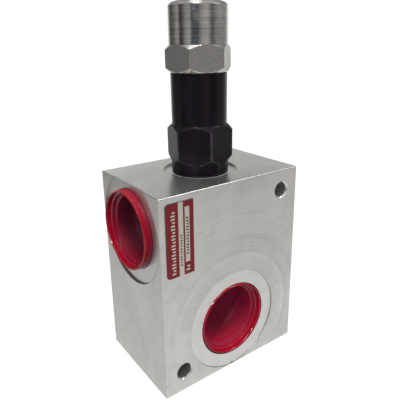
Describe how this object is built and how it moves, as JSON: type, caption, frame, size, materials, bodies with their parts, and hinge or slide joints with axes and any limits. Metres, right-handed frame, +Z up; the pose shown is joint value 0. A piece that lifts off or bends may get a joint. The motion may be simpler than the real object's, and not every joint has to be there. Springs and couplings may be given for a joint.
{
  "type": "cartridge relief valve in a line-mount body",
  "caption": "Adjustable screw-in relief cartridge with hex, barrel and capped adjuster, in a two-port aluminium block with plugged ports.",
  "frame": {"origin": "centre of the block's flat bottom face", "axes": "+Z up along the cartridge's axis; the front face with the pressure port looks along -Y; the tank port looks along -X"},
  "size_m": [0.0796, 0.0512, 0.166],
  "materials": {
    "block": "machined, matte",
    "foil": "satin printed foil",
    "plug_red": "glossy moulded",
    "black_steel": "black oxide, oiled",
    "cap_steel": "turned, zinc plated",
    "ground_steel": "ground",
    "spring_steel": "shot peened",
    "seal_rubber": "matte",
    "ptfe": "waxy"
  },
  "bodies": {
    "body": {"valve_block": "block", "nameplate": "foil", "cartridge_body": "black_steel", "collar_o_ring": "seal_rubber", "cage": "ground_steel", "cage_snap_ring": "spring_steel", "nose_o_ring": "seal_rubber", "nose_backup_ring_lower": "ptfe", "nose_backup_ring_upper": "ptfe", "valve_seat": "ground_steel", "main_spring": "spring_steel"},
    "poppet": {"poppet": "ground_steel", "lower_spring_seat": "ground_steel"},
    "adjuster_piston": {"adjuster_piston": "ground_steel", "piston_o_ring": "seal_rubber", "piston_backup_ring": "ptfe", "thrust_ball": "ground_steel"},
    "adjusting_screw": {"adjusting_screw": "cap_steel"},
    "lock_nut_seal": {"lock_nut_seal": "ptfe"},
    "lock_nut": {"lock_nut": "cap_steel"},
    "cap_o_ring": {"cap_o_ring": "seal_rubber"},
    "seal_cap": {"seal_cap": "cap_steel"},
    "pressure_port_plug": {"pressure_port_plug": "plug_red"},
    "tank_port_plug": {"tank_port_plug": "plug_red"}
  },
  "joints": [
    {"name": "poppet_lift", "type": "slide", "parent": "body", "child": "poppet", "axis": [0, 0, 1], "range_m": [0, 0.0025], "stiffness_N_per_m": 20000, "springref_m": -0.005, "deforming": ["main_spring"]},
    {"name": "adjuster_travel", "type": "slide", "parent": "body", "child": "adjuster_piston", "axis": [0, 0, 1], "range_m": [-0.003, 0.003], "deforming": ["main_spring"]},
    {"name": "adjuster_turn", "type": "hinge", "parent": "adjuster_piston", "child": "adjusting_screw", "pos_m": [0, 0, 0.14], "axis": [0, 0, 1], "range_deg": [-720, 720]},
    {"name": "lock_nut_travel", "type": "slide", "parent": "body", "child": "lock_nut_seal", "axis": [0, 0, 1], "range_m": [0, 0.0015]},
    {"name": "lock_nut_turn", "type": "hinge", "parent": "lock_nut_seal", "child": "lock_nut", "pos_m": [0, 0, 0.152], "axis": [0, 0, 1], "range_deg": [0, 360]},
    {"name": "cap_travel", "type": "slide", "parent": "body", "child": "cap_o_ring", "axis": [0, 0, 1], "range_m": [0, 0.012]},
    {"name": "cap_turn", "type": "hinge", "parent": "cap_o_ring", "child": "seal_cap", "pos_m": [0, 0, 0.15], "axis": [0, 0, 1], "range_deg": [0, 2880]},
    {"name": "pressure_plug_pull", "type": "slide", "parent": "body", "child": "pressure_port_plug", "axis": [0, -1, 0], "range_m": [0, 0.02]},
    {"name": "tank_plug_pull", "type": "slide", "parent": "body", "child": "tank_port_plug", "axis": [-1, 0, 0], "range_m": [-0.003, 0.017]}
  ],
  "couplings": [
    {"joint": "adjuster_travel", "follows": "adjuster_turn", "m_per_rad": 0.0002387},
    {"joint": "lock_nut_travel", "follows": "lock_nut_turn", "m_per_rad": 0.0002387},
    {"joint": "cap_travel", "follows": "cap_turn", "m_per_rad": 0.0002387}
  ]
}
